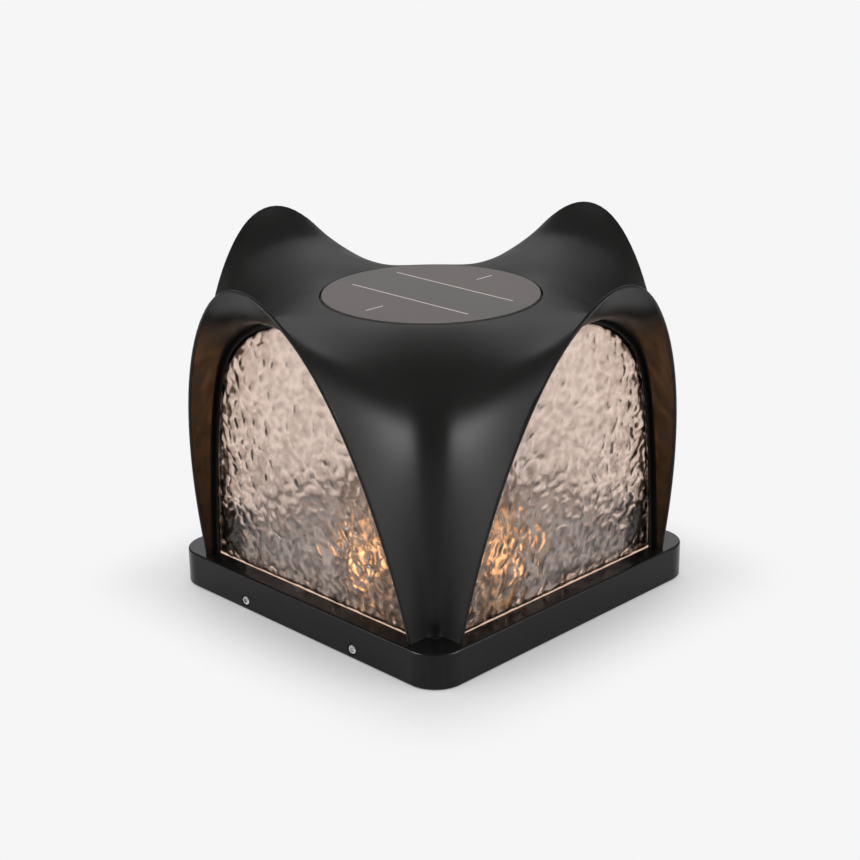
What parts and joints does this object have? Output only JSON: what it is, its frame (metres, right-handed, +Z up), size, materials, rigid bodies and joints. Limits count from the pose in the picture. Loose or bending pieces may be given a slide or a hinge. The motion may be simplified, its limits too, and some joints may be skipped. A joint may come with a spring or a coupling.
{
  "type": "solar post cap light",
  "caption": "Square post cap light: black collar that clamps on a post, rippled glass panes under a legged canopy with upturned ears, and a round solar disc on top.",
  "frame": {"origin": "middle of the collar's lower edge, on the plane that it stands on", "axes": "+Z up, X and Y square to the collar's sides, with the seen set screws on the -Y side"},
  "size_m": [0.2118, 0.2118, 0.1545],
  "materials": {
    "collar_coat": "satin black powder coat on cast aluminium",
    "canopy_coat": "semi-gloss black coat on cast aluminium",
    "rippled_glass": "clear rippled glass",
    "gasket_rubber": "black rubber channel",
    "solar_face": "grey textured solar laminate",
    "ribbon": "pale conductor ribbon",
    "seal_rubber": "black seal",
    "tray_plastic": "black moulded plastic",
    "white_plastic": "white moulded plastic",
    "frosted_plastic": "frosted warm diffuser",
    "board": "white circuit board",
    "diode": "warm white diode",
    "spacer_brass": "turned brass",
    "cell_wrap": "shrink-wrapped cell",
    "contact": "spring brass",
    "cap_plastic": "black moulded cap",
    "button_rubber": "grey rubber button",
    "switch_plastic": "black moulded housing",
    "lead_sheath": "black sheathed lead",
    "stainless": "stainless steel",
    "zinc_steel": "zinc-plated steel"
  },
  "bodies": {
    "lamp": {"base_collar": "collar_coat", "battery": "cell_wrap", "battery_tube": "white_plastic", "board_connector": "switch_plastic", "board_screws": "zinc_steel", "board_spacers": "spacer_brass", "canopy_screws": "zinc_steel", "canopy_shell": "canopy_coat", "cell_ribbons": "ribbon", "drum_screws": "zinc_steel", "gasket_front": "gasket_rubber", "gasket_left": "gasket_rubber", "gasket_rear": "gasket_rubber", "gasket_right": "gasket_rubber", "glass_front": "rippled_glass", "glass_left": "rippled_glass", "glass_rear": "rippled_glass", "glass_right": "rippled_glass", "led_chips": "diode", "light_board": "board", "light_drum": "frosted_plastic", "power_switch": "switch_plastic", "solar_disc": "solar_face", "solar_lead": "lead_sheath", "solar_seal": "seal_rubber", "solar_tray": "tray_plastic", "top_contact": "contact", "tray_screws": "zinc_steel", "tube_screws": "zinc_steel"},
    "set_screw_front_left": {"set_screw_front_left": "stainless"},
    "set_screw_front_right": {"set_screw_front_right": "stainless"},
    "set_screw_rear_left": {"set_screw_rear_left": "stainless"},
    "set_screw_rear_right": {"set_screw_rear_right": "stainless"},
    "battery_cap": {"battery_cap": "cap_plastic", "cap_contact": "contact", "cap_seal": "seal_rubber"},
    "power_button": {"power_button": "button_rubber"}
  },
  "joints": [
    {"name": "clamp_front_left", "type": "slide", "parent": "lamp", "child": "set_screw_front_left", "axis": [0, 1, 0], "range_m": [-0.0005, 0.004]},
    {"name": "clamp_front_right", "type": "slide", "parent": "lamp", "child": "set_screw_front_right", "axis": [0, 1, 0], "range_m": [-0.0005, 0.004]},
    {"name": "clamp_rear_left", "type": "slide", "parent": "lamp", "child": "set_screw_rear_left", "axis": [0, -1, 0], "range_m": [-0.0005, 0.004]},
    {"name": "clamp_rear_right", "type": "slide", "parent": "lamp", "child": "set_screw_rear_right", "axis": [0, -1, 0], "range_m": [-0.0005, 0.004]},
    {"name": "cap_turn", "type": "hinge", "parent": "lamp", "child": "battery_cap", "pos_m": [0, 0, 0.0138], "axis": [0, 0, 1], "range_deg": [0, 60]},
    {"name": "power_press", "type": "slide", "parent": "lamp", "child": "power_button", "axis": [0, 0, 1], "range_m": [0, 0.0007], "stiffness_N_per_m": 800}
  ]
}
